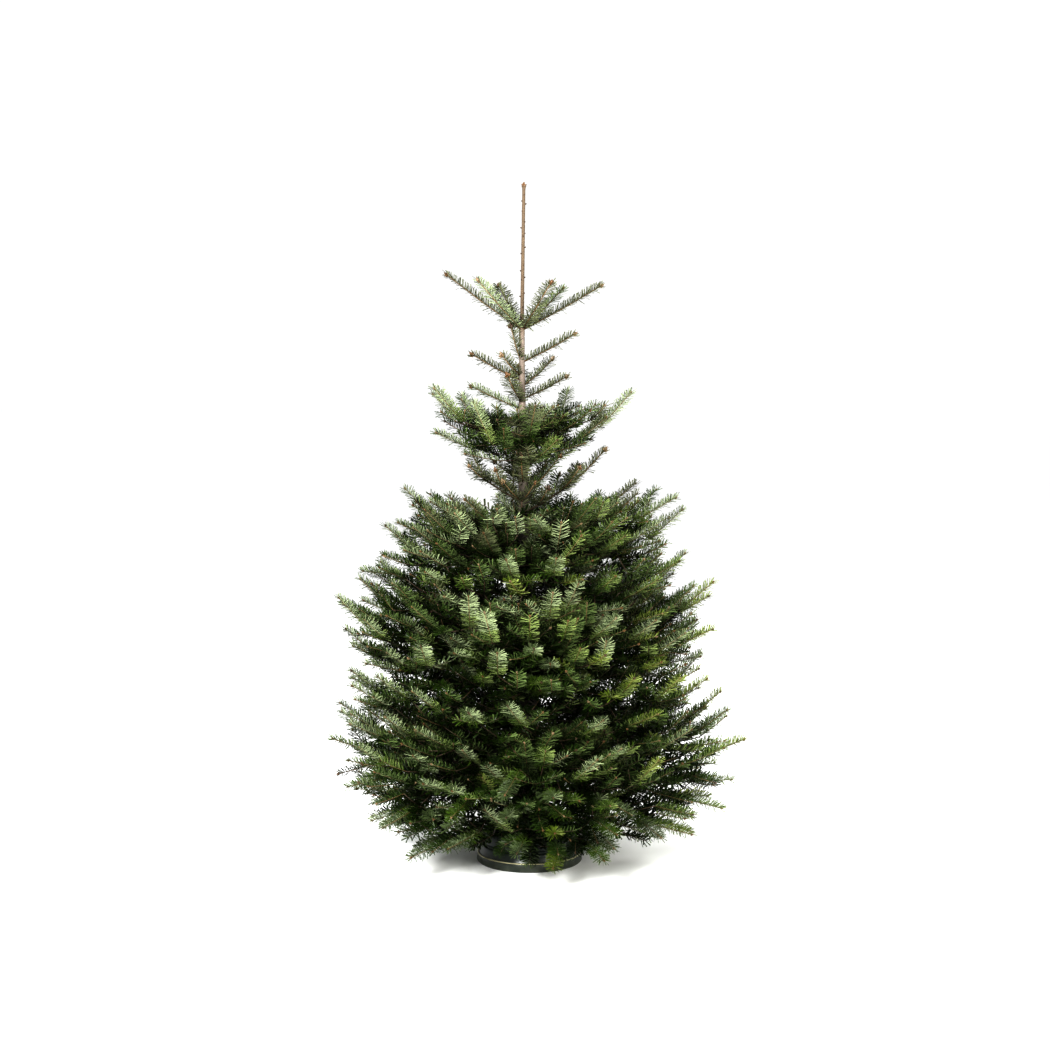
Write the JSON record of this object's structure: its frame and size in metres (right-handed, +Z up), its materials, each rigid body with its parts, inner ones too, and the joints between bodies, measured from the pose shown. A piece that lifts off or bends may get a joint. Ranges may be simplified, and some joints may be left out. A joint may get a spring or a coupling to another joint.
{
  "type": "cut christmas tree in a round stand",
  "caption": "Undecorated cut fir with a bare leader, tiered boughs and dense needle foliage, held upright in a round bell-shaped stand with a water well.",
  "frame": {"origin": "centre of the flat underside of the stand, on the floor under the trunk's foot", "axes": "+Z up along the trunk to the leader, -Y towards someone who looks at the tree's front, +X to their right"},
  "size_m": [1.2084, 1.1184, 1.98],
  "materials": {
    "needles": "glossy dark green needles with a pale silver-green underside, in sprays",
    "bark": "thin rough grey-brown bark, paler and smooth on the young wood near the top",
    "stand_plastic": "glossy blackish green moulded plastic with fine handling scratches",
    "stand_trim": "thin pale gold trim line",
    "claw_steel": "grey coated steel, worn at the grip"
  },
  "bodies": {
    "root": {"side_shoot_1": "needles", "side_shoot_2": "needles", "side_shoot_3": "needles", "side_shoot_4": "needles", "stand_bell": "stand_plastic", "stand_claw_1": "claw_steel", "stand_claw_2": "claw_steel", "stand_claw_3": "claw_steel", "stand_claw_4": "claw_steel", "stand_collar": "stand_plastic", "stand_trim_ring": "stand_trim", "tier2_bough_1": "bark", "tier2_bough_2": "bark", "tier2_bough_3": "bark", "tier2_bough_4": "bark", "tier2_bough_5": "bark", "tier2_mass_1": "needles", "tier2_mass_2": "needles", "tier2_mass_3": "needles", "tier2_mass_4": "needles", "tier2_mass_5": "needles", "tier3_bough_1": "bark", "tier3_bough_2": "bark", "tier3_bough_3": "bark", "tier3_bough_4": "bark", "tier3_bough_5": "bark", "tier3_mass_1": "needles", "tier3_mass_2": "needles", "tier3_mass_3": "needles", "tier3_mass_4": "needles", "tier3_mass_5": "needles", "tier4_bough_1": "bark", "tier4_bough_2": "bark", "tier4_bough_3": "bark", "tier4_bough_4": "bark", "tier4_bough_5": "bark", "tier4_mass_1": "needles", "tier4_mass_2": "needles", "tier4_mass_3": "needles", "tier4_mass_4": "needles", "tier4_mass_5": "needles", "tier5_bough_1": "bark", "tier5_bough_2": "bark", "tier5_bough_3": "bark", "tier5_bough_4": "bark", "tier5_bough_5": "bark", "tier5_bough_6": "bark", "tier5_mass_1": "needles", "tier5_mass_2": "needles", "tier5_mass_3": "needles", "tier5_mass_4": "needles", "tier5_mass_5": "needles", "tier5_mass_6": "needles", "top_shoot_1": "needles", "top_shoot_2": "needles", "top_shoot_3": "needles", "top_shoot_4": "needles", "top_shoot_5": "needles", "top_shoot_6": "needles", "trunk": "bark"}
  },
  "joints": []
}
